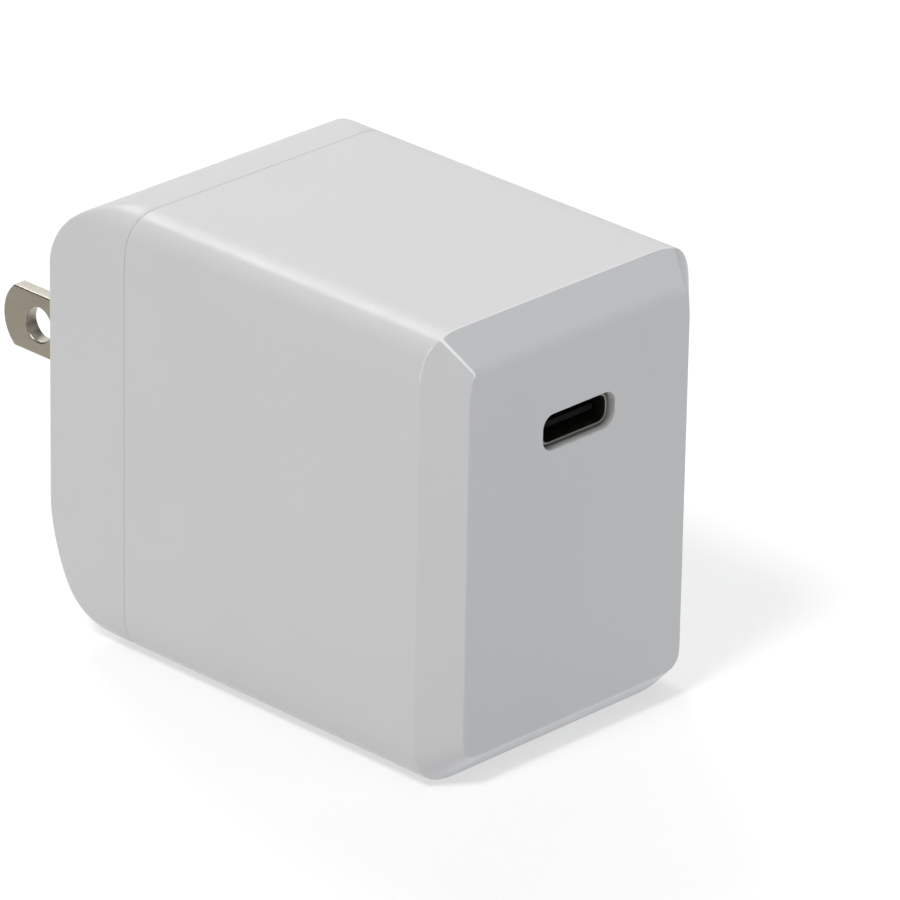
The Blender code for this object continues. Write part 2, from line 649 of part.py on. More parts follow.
def mains_components():
    for index, x in enumerate(BULK_PLACES, start=1):
        can(f"bulk_capacitor_{index}", x, BULK_Y, BULK_RADIUS, DECK, BULK_TOP, "capacitor_sleeve")
    box("x_capacitor", (1.6, 13.6), (4.4, 9.8), (DECK, X_CAPACITOR_TOP), "box_yellow")
    cylinder("y_capacitor", Y_CAPACITOR_CENTRE, 3.4, 2.6, "X", "blue_epoxy", steps=20)
    cylinder("fuse", (*FUSE_PLACE, DECK + FUSE_LIFT), 1.5, 9.0, "Y", "tub_plastic", steps=16)
    box("optocoupler", (10.4, 13.9), (0.2, 3.9), (DECK, DECK + OPTOCOUPLER_HEIGHT),
        "black_plastic")
    box("bridge_rectifier", (-10, -2), (3, 10), (UNDERSIDE - BRIDGE_HEIGHT, UNDERSIDE),
        "black_plastic")
    box("switch_transistor", (2, 10), (-8, 0), (UNDERSIDE - SWITCH_HEIGHT, UNDERSIDE),
        "black_plastic")
    box("primary_controller", (-8, -3), (-14, -9), (UNDERSIDE - CONTROLLER_HEIGHT, UNDERSIDE),
        "black_plastic")


def output_components():
    for name, x in OUTPUT_CAPACITOR_PLACES.items():
        can(f"output_capacitor_{name}", x, OUTPUT_CAPACITOR_Y, OUTPUT_CAPACITOR_RADIUS,
            OUTPUT_DECK, OUTPUT_DECK + OUTPUT_CAPACITOR_HEIGHT, "aluminium")
    soften(box("output_inductor", (4.0, 11.0), (-12.5, -5.5),
               (OUTPUT_DECK, OUTPUT_DECK + INDUCTOR_HEIGHT), "ferrite"), 0.8)
    box("power_delivery_controller", (-9.5, -4.5), (-11.5, -6.5),
        (OUTPUT_DECK, OUTPUT_DECK + DELIVERY_CHIP_HEIGHT), "black_plastic")
    box("synchronous_rectifier", (-3.0, 3.0), (-1.0, 4.0),
        (OUTPUT_DECK, OUTPUT_DECK + RECTIFIER_HEIGHT), "black_plastic")
    for name, x in BUSBAR_PLACES.items():
        box(f"{name}_busbar", (x - BUSBAR_HALF_THICKNESS, x + BUSBAR_HALF_THICKNESS), BUSBAR_SPAN,
            (DECK, OUTPUT_BOARD_TOP - OUTPUT_BOARD_THICKNESS - GAP), "copper")


def insulation_sheet():
    sheet = box("insulation_sheet", (-14.2, 14.2), (-20.5, 8.0),
                (SHEET_BOTTOM, SHEET_BOTTOM + SHEET_THICKNESS), "fish_paper")
    notch = (BUSBAR_SPAN[0] - 0.7, BUSBAR_SPAN[1] + 0.7)
    for side in (-1, 1):
        span = sorted((side * 11.6, side * 15.0))
        combine(sheet, box(f"busbar_notch_{side}", span, notch,
                           (SHEET_BOTTOM - PASS, SHEET_BOTTOM + SHEET_THICKNESS + PASS)))


def heat_spreader():
    """A folded aluminium cover over the output board, open at both ends."""
    reach = 13.0
    top = 41.6
    bottom = 32.0
    thickness = 0.6
    outline = [(-reach, bottom), (thickness - reach, bottom), (thickness - reach, top - thickness),
               (reach - thickness, top - thickness), (reach - thickness, bottom), (reach, bottom),
               (reach, top), (-reach, top)]
    plate("heat_spreader", [outline], "XZ", (0, -5.5, 0), 21.0, "aluminium")


front_housing()
rear_cover()
prong_tub()
prong_carrier()
blades()
contact_springs()
detent_spring()
tub_screws()
circuit_boards()
usb_receptacle()
transformer()
common_mode_choke()
mains_components()
output_components()
insulation_sheet()
heat_spreader()
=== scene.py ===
import json
import math

import bmesh
import bpy
from mathutils import Matrix, Vector
from mathutils.kdtree import KDTree


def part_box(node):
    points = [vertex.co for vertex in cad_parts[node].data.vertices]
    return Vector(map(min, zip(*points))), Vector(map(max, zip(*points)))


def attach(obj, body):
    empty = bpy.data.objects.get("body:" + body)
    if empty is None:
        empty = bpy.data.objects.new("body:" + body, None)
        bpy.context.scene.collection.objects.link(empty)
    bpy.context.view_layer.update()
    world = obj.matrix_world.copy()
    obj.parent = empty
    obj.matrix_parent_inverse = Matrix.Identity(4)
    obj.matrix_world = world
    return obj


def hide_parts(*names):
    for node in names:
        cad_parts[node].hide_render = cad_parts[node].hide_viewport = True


# Looks for a USB-C wall charger. -Y is the socket face, +Y the face that meets the wall.
# Sizes are in millimetres until a mesh is finished.
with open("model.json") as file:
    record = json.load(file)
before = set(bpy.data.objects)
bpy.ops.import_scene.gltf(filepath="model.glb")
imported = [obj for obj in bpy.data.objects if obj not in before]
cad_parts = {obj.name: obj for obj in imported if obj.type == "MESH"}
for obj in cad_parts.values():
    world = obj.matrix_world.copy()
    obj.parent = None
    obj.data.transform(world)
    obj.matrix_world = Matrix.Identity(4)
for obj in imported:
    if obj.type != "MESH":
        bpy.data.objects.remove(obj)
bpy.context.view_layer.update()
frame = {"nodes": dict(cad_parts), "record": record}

MM = 0.001
HOUSING_LOW, HOUSING_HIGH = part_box("front_housing")
COVER_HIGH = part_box("rear_cover")[1]
SHELL_LOW, SHELL_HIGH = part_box("usb_shell")
TONGUE_LOW, TONGUE_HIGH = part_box("usb_tongue")
BLADE_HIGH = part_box("left_blade")[1]

# Shared by all pieces: how near points are welded, the clearance between parts, how far a cutter
# passes through a wall, how far joined bodies reach into each other, and how edges are rounded.
WELD = 0.0004
SLIVER = 0.0002
TINY = 1e-6
GAP = 0.3
PASS = 1.0
OVERLAP = 0.4
MOULDED_EDGE = 0.15
FINE_EDGE = 0.1
EDGE_SEGMENTS = 3
EDGE_STEPS = 5
EDGE_MIDDLE = slice(EDGE_STEPS // 2, EDGE_STEPS // 2 + 2)
SMOOTH_ANGLE = math.radians(32)
BAR_STEPS = 96
SMALL_BAR_STEPS = 48

# Body: a rectangle in X and Z with superellipse corners, drawn along Y, with a chamfer round the
# socket face. Each upper corner rolls off gently from the flat to a crease, and turns the rest of
# the way below it.
HALF_WIDTH = HOUSING_HIGH.x / MM
HEIGHT = HOUSING_HIGH.z / MM
FRONT = HOUSING_LOW.y / MM
REAR = COVER_HIGH.y / MM
CHAMFER = 3.2
WALL = 2.2
CORNER = 5.0
LOWER_CORNER = 6.0
SUPERELLIPSE = 2.8
CORNER_POWER = 2 / SUPERELLIPSE
CORNER_STEPS = 18
CREASE_TURN = math.radians(66.4)
CREASE_HALF = math.radians(3.4)
CREASE_CLEAR = 1.6 * CREASE_HALF
ROLL_POWER = 2.5
MITRE_POWER = 3
FACE_CORNER = 3.0
LOWER_FACE_CORNER = 2.4
FACE_CORNER_DRAW = 0.6
FACE_CORNER_POWER = 1.8
OUTER_EDGE = 0.14
SIDE_FACE_EDGE = 0.12
TOP_FACE_EDGE = 0.75
TOP_EDGE_GROWTH = 3

# Painted highlights on the chamfer's edges: how bright each is, and where along the corner's turn the
# side ones lie.
PAINTED_HIGHLIGHT = "painted_highlight"
HIGHLIGHT_MATCH = 0.004
RIDGE_HIGHLIGHT = 1.0
TOP_RIM_HIGHLIGHT = 0.55
SIDE_RIM_HIGHLIGHT = 0.3
SIDE_RIM_START = 0.1 * CREASE_TURN
SIDE_RIM_END = 0.8 * CREASE_TURN
FACE_HIGHLIGHT_START = 0.85 * CREASE_TURN

# Rails along the front housing's side walls, one under and one over the mains board's edge.
RAIL_INNER = 14.2
RAIL_SPAN = (-19.0, 10.0)
RAIL_THICKNESS = 1.0
RAIL_LEVELS = {"under": 3.7, "over": 6.9}

# Rear cover: its top and bottom curve over the cover's full depth. Each step of the seam's rounding
# is a distance from the seam's end face and how far the outline is drawn in there.
COVER_DEPTH = 10.4
SEAM = REAR - COVER_DEPTH
SEAM_HALF = 0.01
SEAM_EDGE = 0.045
SEAM_MIDDLE = 0.3 * SEAM_EDGE
SEAM_ROUNDING = ((0.0, SEAM_EDGE), (SEAM_MIDDLE, SEAM_MIDDLE), (SEAM_EDGE, 0.0))
SEAM_CLEAR = 2.5
TOP_REACH = 9.5
TOP_POWER = 2.4
BOTTOM_REACH = 17.0
BOTTOM_POWER = 2.18
COVER_RINGS = 30
COVER_COLUMNS = 64
COVER_SIDE_START = 26.0
COVER_EDGE = 0.5
COVER_SIDE_EDGE = 0.5
CUT_EDGE = 0.16
CUT_SEGMENTS = 2
CUT_ANGLE = math.radians(55)
LIP_REACH = 2.4
LIP_THICKNESS = 1.1
LIP_ROOT = 1.8

# Socket: a rounded opening, and the receptacle set back behind it.
PORT_Z = (SHELL_LOW.z + SHELL_HIGH.z) / 2 / MM
PORT_HALF_WIDTH = 4.72
PORT_HALF_HEIGHT = 1.8
PORT_CORNER = 1.3
PORT_EDGE = 0.12
PORT_STEPS = 10
SHELL_WALL = 0.3
SHELL_CORNER = 1.25
SHELL_EDGE = 0.08
SHELL_FRONT = SHELL_LOW.y / MM
SHELL_REAR = SHELL_HIGH.y / MM
SHELL_HALF_WIDTH = SHELL_HIGH.x / MM
SHELL_HALF_HEIGHT = (SHELL_HIGH.z - SHELL_LOW.z) / 2 / MM
TONGUE_HALF_WIDTH = 3.345
TONGUE_HALF_THICKNESS = 0.35
TONGUE_FRONT = TONGUE_LOW.y / MM
TONGUE_BACK = TONGUE_HIGH.y / MM
TONGUE_BASE_DEPTH = 1.8
TONGUE_BASE_FRONT = TONGUE_BACK - TONGUE_BASE_DEPTH
TONGUE_EDGE = 0.12
INSERT_ROOM = 0.02
INSERT_EDGE = 0.05
CONTACT_COUNT = 12
CONTACT_PITCH = 0.5
CONTACT_WIDTH = 0.25
CONTACT_FRONT = TONGUE_FRONT + 0.9
CONTACT_LENGTH = 2.6
CONTACT_HALF_THICKNESS = 0.04
CONTACT_EDGE = 0.02

# Prongs: two blades on a barrel that turns about an X axis just inside the wall face.
PIVOT_Y = REAR - 4.4
PIVOT_Z = 23.9
BLADE_WIDTH = 6.35
BLADE_THICKNESS = 1.5
BLADE_X = {"left": -6.35, "right": 6.35}
BLADE_TIP = BLADE_HIGH.y / MM
BLADE_TIP_RADIUS = 4.1
BLADE_HOLE_RADIUS = 1.8
BLADE_HOLE_Y = REAR + 12.7
BLADE_EDGE = 0.16
TIP_STEPS = 28
HOLE_STEPS = 64
HEEL_STEPS = 8
HEEL_HALF = 1.5
HEEL_RADIUS = 4.3
HEEL_START = -2.0
SEAT_ROOM = 0.05
BARREL_RADIUS = 4.1
BARREL_HALF = 8.2
BARREL_EDGE = 0.3
STUB_RADIUS = 1.6
STUB_END = 10.5
NOTCH_RADIUS = 0.8
NOTCH_HALF = 1.7
NOTCH_STEPS = 32
SLOT_HALF = 1.1
SLOT_FLOOR = PIVOT_Y - BLADE_WIDTH / 2 - GAP
SLOT_BOTTOM = 1.3
WINDOW_HALF_WIDTH = 8.6
WINDOW_HALF_HEIGHT = 3.8
SCREW_PLACES = ((-7.5, 33.2), (7.5, 33.2), (0.0, 12.5))
BOSS_RADIUS = 2.3
BOSS_FRONT = 19.2
SADDLE_CAP_SPAN = (9.0, 10.4)


# ------------------------------------------------------------------ mesh helpers

def to_object(bm, name):
    """Finishes a mesh built in millimetres and puts it in the scene in metres."""
    bmesh.ops.remove_doubles(bm, verts=bm.verts, dist=WELD)
    bmesh.ops.dissolve_degenerate(bm, edges=bm.edges, dist=SLIVER)
    bmesh.ops.recalc_face_normals(bm, faces=bm.faces)
    bmesh.ops.scale(bm, vec=(MM, MM, MM), verts=bm.verts)
    mesh = bpy.data.meshes.new(name)
    bm.to_mesh(mesh)
    bm.free()
    item = bpy.data.objects.new(name, mesh)
    bpy.context.scene.collection.objects.link(item)
    return item


def bake(item):
    """Replaces an object's mesh by its evaluated one, so that no modifier is left on it."""
    bpy.context.view_layer.update()
    evaluated = item.evaluated_get(bpy.context.evaluated_depsgraph_get())
    mesh = bpy.data.meshes.new_from_object(evaluated)
    mesh.name = item.name
    item.modifiers.clear()
    item.data = mesh
    return item


def smooth(item):
    """Shades round surfaces smooth while every flat keeps its own direction."""
    item.data.shade_smooth()
    item.data.set_sharp_from_angle(angle=SMOOTH_ANGLE)
    weighted = item.modifiers.new("weighted", "WEIGHTED_NORMAL")
    weighted.mode = "FACE_AREA"
    weighted.keep_sharp = True
    return bake(item)


def cut(item, tools):
    """Cuts some tools out of an object, and removes the tools."""
    for tool in tools:
        modifier = item.modifiers.new(tool.name, "BOOLEAN")
        modifier.operation = "DIFFERENCE"
        modifier.solver = "EXACT"
        modifier.object = tool
    bake(item)
    for tool in tools:
        bpy.data.objects.remove(tool, do_unlink=True)
    return item


def round_cuts(item):
    """Rounds the sharp edges that cuts have left."""
    modifier = item.modifiers.new("edge", "BEVEL")
    modifier.width = CUT_EDGE * MM
    modifier.segments = CUT_SEGMENTS
    modifier.limit_method = "ANGLE"
    modifier.angle_limit = CUT_ANGLE
    modifier.use_clamp_overlap = True
    return bake(item)


def join(item, others):
    """Adds other objects' meshes to an object, each as a closed body of its own."""
    bm = bmesh.new()
    for source in (item, *others):
        bm.from_mesh(source.data)
    bm.to_mesh(item.data)
    bm.free()
    for other in others:
        bpy.data.objects.remove(other, do_unlink=True)
    return item


def add_ring(bm, points):
    return [bm.verts.new(point) for point in points]


def bridge(bm, near, far):
    for index in range(len(near)):
        after = (index + 1) % len(near)
        bm.faces.new((near[index], near[after], far[after], far[index]))


def skin(bm, outlines):
    """A skin through closed outlines of equal length; gives back the first and last ring."""
    rings = [add_ring(bm, points) for points in outlines]
    for near, far in zip(rings, rings[1:]):
        bridge(bm, near, far)
    return rings[0], rings[-1]


def fill_between(bm, *rings):
    """Closes the flat area bounded by one ring, or lying between two."""
    edges = []
    for ring in rings:
        for index in range(len(ring)):
            pair = (ring[index], ring[(index + 1) % len(ring)])
            edges.append(bm.edges.get(pair) or bm.edges.new(pair))
    bmesh.ops.triangle_fill(bm, use_beauty=True, use_dissolve=False, edges=edges)


def round_edges(bm, edges, width):
    bmesh.ops.bevel(bm, geom=edges, offset=width, segments=EDGE_SEGMENTS, affect="EDGES", profile=0.5)


def block(name, x_span, y_span, z_span, edge=0.0):
    """A box, with rounded edges if an edge width is given."""
    spans = (x_span, y_span, z_span)
    centre = Vector([(low + high) / 2 for low, high in spans])
    size = Matrix.Diagonal([high - low for low, high in spans]).to_4x4()
    bm = bmesh.new()
    bmesh.ops.create_cube(bm, size=1.0, matrix=Matrix.Translation(centre) @ size)
    if edge:
        round_edges(bm, bm.edges[:], edge)
    return to_object(bm, name)


AXIS_TURN = {"X": Matrix.Rotation(math.pi / 2, 4, "Y"), "Y": Matrix.Rotation(-math.pi / 2, 4, "X")}


def turned(name, centre, radius, half_length, axis, edge=0.0, steps=BAR_STEPS):
    """A round bar, with rounded rims if an edge width is given."""
    bm = bmesh.new()
    bmesh.ops.create_cone(bm, cap_ends=True, segments=steps, radius1=radius, radius2=radius,
                          depth=2 * half_length,
                          matrix=Matrix.Translation(centre) @ AXIS_TURN[axis])
    if edge:
        caps = [face for face in bm.faces if len(face.verts) == steps]
        rims = [rim for rim in bm.edges if any(face in caps for face in rim.link_faces)]
        round_edges(bm, rims, edge)
    return to_object(bm, name)


# Turns a flat outline's own axes into the axes of the plane it is to lie in.
PLANES = {"YZ": ((0, 0, 1), (1, 0, 0), (0, 1, 0)), "XZ": ((1, 0, 0), (0, 0, -1), (0, 1, 0))}


def plate(name, outlines, plane, centre, thickness, edge):
    """Flat outlines, inner ones as holes, thickened about their plane with rounded edges."""
    curve = bpy.data.curves.new(name, "CURVE")
    curve.dimensions = "2D"
    curve.fill_mode = "BOTH"
    curve.extrude = thickness / 2 - edge
    curve.bevel_depth = edge
    curve.bevel_resolution = 2
    curve.offset = -edge
    for points in outlines:
        spline = curve.splines.new("POLY")
        spline.points.add(len(points) - 1)
        for point, (across, up) in zip(spline.points, points):
            point.co = (across, up, 0.0, 1.0)
        spline.use_cyclic_u = True
    flat = bpy.data.objects.new(name + "_outline", curve)
    bpy.context.scene.collection.objects.link(flat)
    bpy.context.view_layer.update()
    evaluated = flat.evaluated_get(bpy.context.evaluated_depsgraph_get())
    bm = bmesh.new()
    bm.from_mesh(bpy.data.meshes.new_from_object(evaluated))
    turn = Matrix(PLANES[plane]).to_4x4()
    bmesh.ops.transform(bm, matrix=Matrix.Translation(centre) @ turn, verts=bm.verts)
    bpy.data.objects.remove(flat, do_unlink=True)
    return to_object(bm, name)


def arc(centre, radius, start, end, steps):
    angles = [start + (end - start) * step / steps for step in range(steps + 1)]
    return [(centre[0] + radius * math.cos(angle), centre[1] + radius * math.sin(angle))
            for angle in angles]


def soft_edge(corner, arriving, leaving, reach):
    """Points that round a corner off, from reach before it to reach after it."""
    start = corner - arriving * reach
    end = corner + leaving * reach
    points = []
    for step in range(EDGE_STEPS + 1):
        share = step / EDGE_STEPS
        points.append(start * (1 - share) ** 2 + corner * 2 * share * (1 - share) + end * share ** 2)
    return points


# ------------------------------------------------------------------ body section

CREASE_X = HALF_WIDTH - CORNER + CORNER * math.cos(CREASE_TURN) ** CORNER_POWER
CREASE_Z = HEIGHT - CORNER + CORNER * math.sin(CREASE_TURN) ** CORNER_POWER
FLAT_X = HALF_WIDTH - CORNER


def corner_point(turn, creased=True):
    """A point of the upper right corner and the way it faces; turn 0 is the side, 90 the top."""
    corner = CORNER if creased else LOWER_CORNER
    across = max(math.cos(turn), 0.0)
    rise = math.sin(turn)
    x = HALF_WIDTH - corner + corner * across ** CORNER_POWER
    if turn <= CREASE_TURN or not creased:
        z = HEIGHT - corner + corner * rise ** CORNER_POWER
        facing = Vector((across ** (2 - CORNER_POWER), 0, rise ** (2 - CORNER_POWER)))
    else:
        share = (x - FLAT_X) / (CREASE_X - FLAT_X)
        drop = HEIGHT - CREASE_Z
        z = HEIGHT - drop * share ** ROLL_POWER
        slope = drop * ROLL_POWER / (CREASE_X - FLAT_X) * share ** (ROLL_POWER - 1)
        facing = Vector((slope, 0, 1))
    return Vector((x, 0, z)), facing.normalized()


def corner_turns():
    """Even steps round a corner, with three close together at the crease."""
    even = [step * math.pi / 2 / CORNER_STEPS for step in range(CORNER_STEPS + 1)]
    turns = [turn for turn in even if abs(turn - CREASE_TURN) > CREASE_CLEAR]
    return sorted(turns + [CREASE_TURN - CREASE_HALF, CREASE_TURN, CREASE_TURN + CREASE_HALF])


def quarter(y, inset=0.0, creased=True):
    """The section's upper right corner at one y, drawn in by a distance."""
    points = []
    for turn in corner_turns():
        point, facing = corner_point(turn, creased)
        points.append(Vector((0, y, 0)) + point - facing * inset)
    return points


def flipped(point, x_sign, z_sign):
    middle = HEIGHT / 2
    return Vector((point.x * x_sign, point.y, middle + (point.z - middle) * z_sign))


def whole_outline(upper, lower):
    """A closed outline from its upper right quarter and its lower one, given as if upper."""
    return (
        list(upper)
        + [flipped(point, -1, 1) for point in reversed(upper)]
        + [flipped(point, -1, -1) for point in lower]
        + [flipped(point, 1, -1) for point in reversed(lower)])


def section(y, inset=0.0):
    return whole_outline(quarter(y, inset), quarter(y, inset, creased=False))


# ------------------------------------------------------------------ front housing

def paint_highlights(item, places):
    """Marks the vertices at some places for a painted highlight; places holds (point, amount) pairs.
    """
    tree = KDTree(len(places))
    for index, (point, _) in enumerate(places):
        tree.insert(point * MM, index)
    tree.balance()
    marks = item.data.attributes.new(PAINTED_HIGHLIGHT, "FLOAT", "POINT")
    for vertex, mark in zip(item.data.vertices, marks.data):
        _, index, distance = tree.find(vertex.co)
        if distance < HIGHLIGHT_MATCH * MM:
            mark.value = places[index][1]


def chamfer_column(turn):
    """Points from the body's wall over the chamfer to the socket face, at one turn of the corner.

    Above the crease the chamfer is one flat facet. Below it the side facet fans round the corner
    to the tighter corner of the socket face.
    """
    face_top = HEIGHT - CHAMFER
    face_side = HALF_WIDTH - CHAMFER
    ridge_x = face_side - FACE_CORNER_DRAW
    point, _ = corner_point(turn)
    if turn >= CREASE_TURN:
        share = (turn - CREASE_TURN) / (math.pi / 2 - CREASE_TURN)
        outer = point + Vector((0, FRONT + point.z - face_top, 0))
        inner = Vector((ridge_x + (FLAT_X - ridge_x) * share, FRONT, face_top))
        inward = Vector((0, 0, -1))
        growth = min(1, TOP_EDGE_GROWTH * share)
        softness = SIDE_FACE_EDGE + (TOP_FACE_EDGE - SIDE_FACE_EDGE) * growth
    else:
        share = turn / CREASE_TURN
        drawn = (HEIGHT - CREASE_Z) * share ** MITRE_POWER
        outer = point + Vector((0, FRONT + CHAMFER - drawn, 0))
        inner = Vector((face_side - FACE_CORNER_DRAW * share ** FACE_CORNER_POWER, FRONT,
                        face_top - FACE_CORNER * (1 - share)))
        inward = Vector((-1, 0, -share)).normalized()
        softness = SIDE_FACE_EDGE
    run = (inner - outer).normalized()
    column = soft_edge(outer, Vector((0, -1, 0)), run, OUTER_EDGE)
    return column + soft_edge(inner, run, inward, softness)


def lower_column(turn):
    """The same for a lower corner, where the chamfer keeps one width all the way round."""
    point, facing = corner_point(turn, creased=False)
    outer = point + Vector((0, FRONT + CHAMFER, 0))
    across = max(math.cos(turn), 0.0) ** CORNER_POWER
    rise = math.sin(turn) ** CORNER_POWER
    inner = Vector((HALF_WIDTH - CHAMFER - LOWER_FACE_CORNER * (1 - across), FRONT,
                    HEIGHT - CHAMFER - LOWER_FACE_CORNER * (1 - rise)))
    run = (inner - outer).normalized()
    column = soft_edge(outer, Vector((0, -1, 0)), run, OUTER_EDGE)
    return column + soft_edge(inner, run, -facing, SIDE_FACE_EDGE)


def highlighted_edges(columns):
    """Where the chamfer's edges get a painted highlight: the left mitre ridge most, the rims less."""
    places = []
    top_rim = []
    for turn, column in zip(corner_turns(), columns):
        outer_edge, inner_edge = column[:EDGE_STEPS + 1], column[EDGE_STEPS + 1:]
        if turn == CREASE_TURN:
            places += [(point, RIDGE_HIGHLIGHT) for point in column[EDGE_MIDDLE.start:]]
        elif turn > CREASE_TURN:
            top_rim += [(point, TOP_RIM_HIGHLIGHT) for point in outer_edge[EDGE_MIDDLE]]
        elif turn > FACE_HIGHLIGHT_START:
            places += [(point, RIDGE_HIGHLIGHT) for point in inner_edge[EDGE_MIDDLE]]
        elif SIDE_RIM_START < turn < SIDE_RIM_END:
            places += [(point, SIDE_RIM_HIGHLIGHT) for point in outer_edge[EDGE_MIDDLE]]
    return top_rim + [(flipped(point, -1, 1), amount) for point, amount in places + top_rim]


def stadium(y, grow=0.0, half_width=PORT_HALF_WIDTH, half_height=PORT_HALF_HEIGHT,
            corner=PORT_CORNER):
    """A rounded rectangle about the socket's middle, grown outwards by a distance."""
    points = []
    for index, (x_sign, z_sign) in enumerate(((1, 1), (-1, 1), (-1, -1), (1, -1))):
        centre = (x_sign * (half_width - corner), PORT_Z + z_sign * (half_height - corner))
        start = index * math.pi / 2
        for x, z in arc(centre, corner + grow, start, start + math.pi / 2, PORT_STEPS):
            points.append(Vector((x, y, z)))
    return points


def rails():
    """The ribs along both side walls that hold the mains board between them."""
    ribs = []
    for level, z_low in RAIL_LEVELS.items():
        for side in (-1, 1):
            x_span = sorted((side * RAIL_INNER, side * (HALF_WIDTH - WALL + OVERLAP)))
            ribs.append(block(f"rail_{level}_{side}", x_span, RAIL_SPAN,
                              (z_low, z_low + RAIL_THICKNESS), MOULDED_EDGE))
    return ribs


def front_housing():
    """One skin from the seam over the outside to the socket face, and back along the inside."""
    end = SEAM - SEAM_HALF
    outlines = [section(end, WALL)]
    outlines += [section(end - back, inset) for back, inset in SEAM_ROUNDING]
    upper = [chamfer_column(turn) for turn in corner_turns()]
    lower = [lower_column(turn) for turn in corner_turns()]
    outlines += [whole_outline(*pair) for pair in zip(zip(*upper), zip(*lower))]
    bm = bmesh.new()
    wall_end, face = skin(bm, outlines)
    cavity_bend, cavity_face = skin(bm, [
        section(FRONT + WALL + CHAMFER / 2, WALL),
        section(FRONT + WALL, WALL + CHAMFER / 2)])
    bridge(bm, cavity_bend, wall_end)
    bend = [math.pi / 2 * step / EDGE_STEPS for step in range(EDGE_STEPS + 1)]
    mouth = [stadium(FRONT + PORT_EDGE * (1 - math.cos(turn)), PORT_EDGE * (1 - math.sin(turn)))
             for turn in bend]
    mouth_front, mouth_back = skin(bm, mouth + [stadium(FRONT + WALL)])
    fill_between(bm, face, mouth_front)
    fill_between(bm, cavity_face, mouth_back)
    housing = to_object(bm, "housing_shell")
    # The chamfer's edges get their painted highlights here.
    paint_highlights(housing, highlighted_edges(upper))
    return smooth(join(housing, rails()))


# ------------------------------------------------------------------ rear cover

def cut_quarter(y, drop, inset, side_inset, creased):
    """The section's corner cut level at a drop below the top, with the cut's edge rounded."""
    path = [Vector((HALF_WIDTH - inset, y, COVER_SIDE_START))] + quarter(y, inset, creased)
    level = HEIGHT - inset - drop
    kept = [path[0]]
    for before, after in zip(path, path[1:]):
        if after.z >= level:
            rise = after.z - before.z
            kept.append(before.lerp(after, (level - before.z) / rise if rise > TINY else 0.0))
            break
        kept.append(after)
    lengths = [0.0]
    for before, after in zip(kept, kept[1:]):
        lengths.append(lengths[-1] + (after - before).length)
    reach = min(COVER_EDGE, drop)
    points = []
    place = 0
    for step in range(COVER_COLUMNS + 1):
        want = (lengths[-1] - reach) * step / COVER_COLUMNS
        while place < len(kept) - 2 and lengths[place + 1] < want:
            place += 1
        span = lengths[place + 1] - lengths[place]
        points.append(kept[place].lerp(kept[place + 1], (want - lengths[place]) / span))
    rising = (kept[-1] - points[-1]).normalized() if reach > TINY else Vector((-1, 0, 0))
    points += soft_edge(kept[-1], rising, Vector((-1, 0, 0)), reach)[1:]
    squeeze = (HALF_WIDTH - side_inset) / HALF_WIDTH
    return [Vector((point.x * squeeze, point.y, point.z)) for point in points]


def cover_outline(share, inset=0.0, draw=0.0):
    """The cover's outline at a share of its depth, 0 at the seam and 1 at its rear."""
    depth = COVER_DEPTH - inset
    y = REAR - COVER_DEPTH + depth * share
    fall = []
    for reach, power in ((TOP_REACH, TOP_POWER), (BOTTOM_REACH, BOTTOM_POWER)):
        left = max(0.0, 1 - share ** power)
        fall.append((reach - inset) * (1 - left ** (1 / power)))
    near_rear = max(0.0, y - (REAR - COVER_SIDE_EDGE))
    side = COVER_SIDE_EDGE - math.sqrt(COVER_SIDE_EDGE ** 2 - near_rear ** 2)
    return whole_outline(*(cut_quarter(y, drop, inset + draw, side, creased)
                           for drop, creased in zip(fall, (True, False))))


def cover_shell():
    """The cover's outer and inner skins, joined at the seam."""
    shares = [math.sin(math.pi / 2 * step / COVER_RINGS) ** (2 / TOP_POWER)
              for step in range(COVER_RINGS + 1)]
    edge = [((SEAM_HALF + back) / COVER_DEPTH, draw) for back, draw in SEAM_ROUNDING]
    seam_share, rounded_share = edge[0][0], edge[-1][0]
    outer = [cover_outline(share, draw=draw) for share, draw in edge]
    outer += [cover_outline(share) for share in shares if share > SEAM_CLEAR * rounded_share]
    # Inside, the seam's own ring takes the place of the first two.
    inner = [cover_outline(share, inset=WALL) for share in (seam_share, *shares[2:])]
    bm = bmesh.new()
    outer_front, outer_rear = skin(bm, outer)
    inner_front, inner_rear = skin(bm, inner)
    bridge(bm, outer_front, inner_front)
    bm.faces.new(outer_rear)
    bm.faces.new(inner_rear)
    return to_object(bm, "cover_shell")


def cover_cuts():
    """The window for the carrier, and the slots that the blades fold down into."""
    cuts = [block("window_cut", (-WINDOW_HALF_WIDTH, WINDOW_HALF_WIDTH),
                  (REAR - WALL - PASS, REAR + PASS),
                  (PIVOT_Z - WINDOW_HALF_HEIGHT, PIVOT_Z + WINDOW_HALF_HEIGHT))]
    for side, x in BLADE_X.items():
        cuts.append(block(f"slot_cut_{side}", (x - SLOT_HALF, x + SLOT_HALF),
                          (SLOT_FLOOR, REAR + PASS), (SLOT_BOTTOM, PIVOT_Z)))
    return cuts


def cover_fixings():
    """Screw bosses and saddle caps on the inside of the cover's rear wall."""
    inside = REAR - WALL
    fixings = []
    for number, (x, z) in enumerate(SCREW_PLACES):
        length = inside + OVERLAP - BOSS_FRONT
        fixings.append(turned(f"boss_{number}", (x, BOSS_FRONT + length / 2, z), BOSS_RADIUS,
                              length / 2, "Y", MOULDED_EDGE, SMALL_BAR_STEPS))
    for side in (-1, 1):
        fixings.append(block(f"saddle_cap_{side}", sorted(side * x for x in SADDLE_CAP_SPAN),
                             (inside - GAP, inside + OVERLAP),
                             (PIVOT_Z - STUB_RADIUS, PIVOT_Z + STUB_RADIUS), FINE_EDGE))
    return fixings


